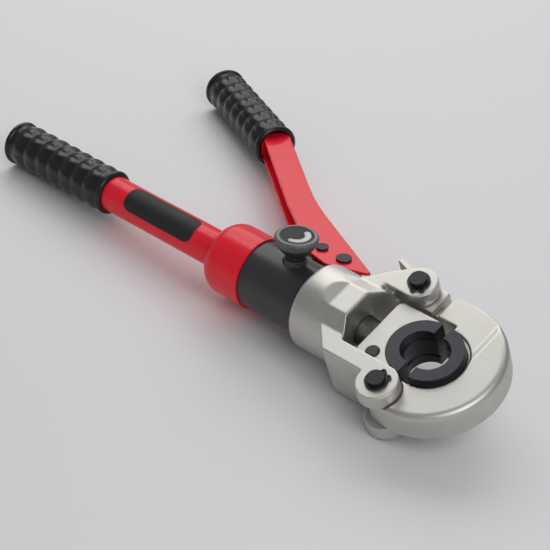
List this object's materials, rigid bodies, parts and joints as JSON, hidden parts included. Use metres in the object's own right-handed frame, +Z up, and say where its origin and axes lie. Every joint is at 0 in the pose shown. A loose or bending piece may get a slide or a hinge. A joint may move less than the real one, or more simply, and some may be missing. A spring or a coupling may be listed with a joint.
{
  "type": "hydraulic press tool",
  "caption": "Hand-pumped hydraulic press tool: red reservoir handle and pump lever, swivelling fork head with swing jaw, latch and split dies for pressing pipe sleeves.",
  "frame": {"origin": "centre of the fixed die on the tool axis, at mid length of the dies", "axes": "+X along the tool axis from the handle to the press head, +Y to the pump lever's side, +Z up along the release knob's axis"},
  "size_m": [0.4598, 0.2558, 0.0853],
  "materials": {
    "black_body": "satin black enamel",
    "red_paint": "gloss red paint",
    "grip_rubber": "soft satin rubber",
    "seal_rubber": "smooth",
    "nickel_cast": "satin nickel over cast steel",
    "die_steel": "blackened tool steel",
    "black_oxide": "black oxide",
    "bright_steel": "ground",
    "black_plastic": "knurled satin",
    "knob_label": "gloss disc with a pale curved arrow"
  },
  "bodies": {
    "pump": {"pump_body": "black_body", "reservoir_handle": "red_paint", "handle_grip": "grip_rubber", "handle_end_plug": "black_oxide", "oil_bladder": "seal_rubber", "intake_strainer": "bright_steel", "inlet_ball": "bright_steel", "inlet_spring": "bright_steel", "outlet_ball": "bright_steel", "outlet_spring": "bright_steel", "outlet_plug": "bright_steel", "relief_ball": "bright_steel", "relief_spring": "bright_steel", "relief_screw": "black_oxide", "plunger_gland": "bright_steel", "plunger_seal": "seal_rubber", "head_ring": "bright_steel", "neck_seal": "seal_rubber"},
    "head": {"yoke": "nickel_cast", "hinge_pin": "black_oxide", "hinge_circlips": "black_oxide", "latch_pin": "black_oxide", "latch_circlips": "black_oxide", "return_spring": "bright_steel"},
    "jaw": {"swing_jaw": "nickel_cast", "fixed_die": "die_steel", "die_detent": "bright_steel"},
    "latch": {"latch": "nickel_cast", "latch_spring": "bright_steel"},
    "ram": {"ram": "black_oxide", "piston_seal": "seal_rubber", "die_block": "nickel_cast", "moving_die": "die_steel", "button_spring": "bright_steel"},
    "button": {"die_button": "black_plastic"},
    "lever": {"lever": "red_paint", "lever_grip": "grip_rubber", "pivot_pin": "black_oxide", "pivot_clip": "black_oxide", "link_pin": "black_oxide", "link_clip": "black_oxide"},
    "plunger": {"pump_plunger": "bright_steel"},
    "knob": {"release_knob": "black_plastic", "knob_disc": "knob_label", "valve_stem": "bright_steel", "stem_seal": "seal_rubber"}
  },
  "joints": [
    {"name": "head_swivel", "type": "hinge", "parent": "pump", "child": "head", "pos_m": [-0.09, 0, 0], "axis": [1, 0, 0], "range_deg": [-175, 175]},
    {"name": "jaw_swing", "type": "hinge", "parent": "head", "child": "jaw", "pos_m": [-0.0107, -0.03653, -0.01476], "axis": [0, 0.3746, -0.9272], "range_deg": [0, 105]},
    {"name": "latch_turn", "type": "hinge", "parent": "head", "child": "latch", "pos_m": [-0.0406, 0.03653, 0.01476], "axis": [0, -0.3746, 0.9272], "range_deg": [0, 18], "stiffness_Nm_per_rad": 0.6, "springref_deg": -8.59},
    {"name": "ram_stroke", "type": "slide", "parent": "head", "child": "ram", "axis": [1, 0, 0], "range_m": [-0.009, 0.0075], "deforming": ["return_spring"]},
    {"name": "die_button_press", "type": "slide", "parent": "ram", "child": "button", "axis": [0, 0.3746, -0.9272], "range_m": [0, 0.0015], "stiffness_N_per_m": 1500, "springref_m": -0.002, "deforming": ["button_spring"]},
    {"name": "lever_pump", "type": "hinge", "parent": "pump", "child": "lever", "pos_m": [-0.1206, 0.046, 0], "axis": [0, 0, 1], "range_deg": [-15, 27]},
    {"name": "plunger_stroke", "type": "slide", "parent": "pump", "child": "plunger", "axis": [0, 1, 0], "range_m": [-0.0105, 0.006]},
    {"name": "knob_turn", "type": "hinge", "parent": "pump", "child": "knob", "pos_m": [-0.1245, 0, 0.03], "axis": [0, 0, 1], "range_deg": [0, 180]}
  ],
  "couplings": [
    {"joint": "plunger_stroke", "follows": "lever_pump", "m_per_rad": -0.02}
  ]
}
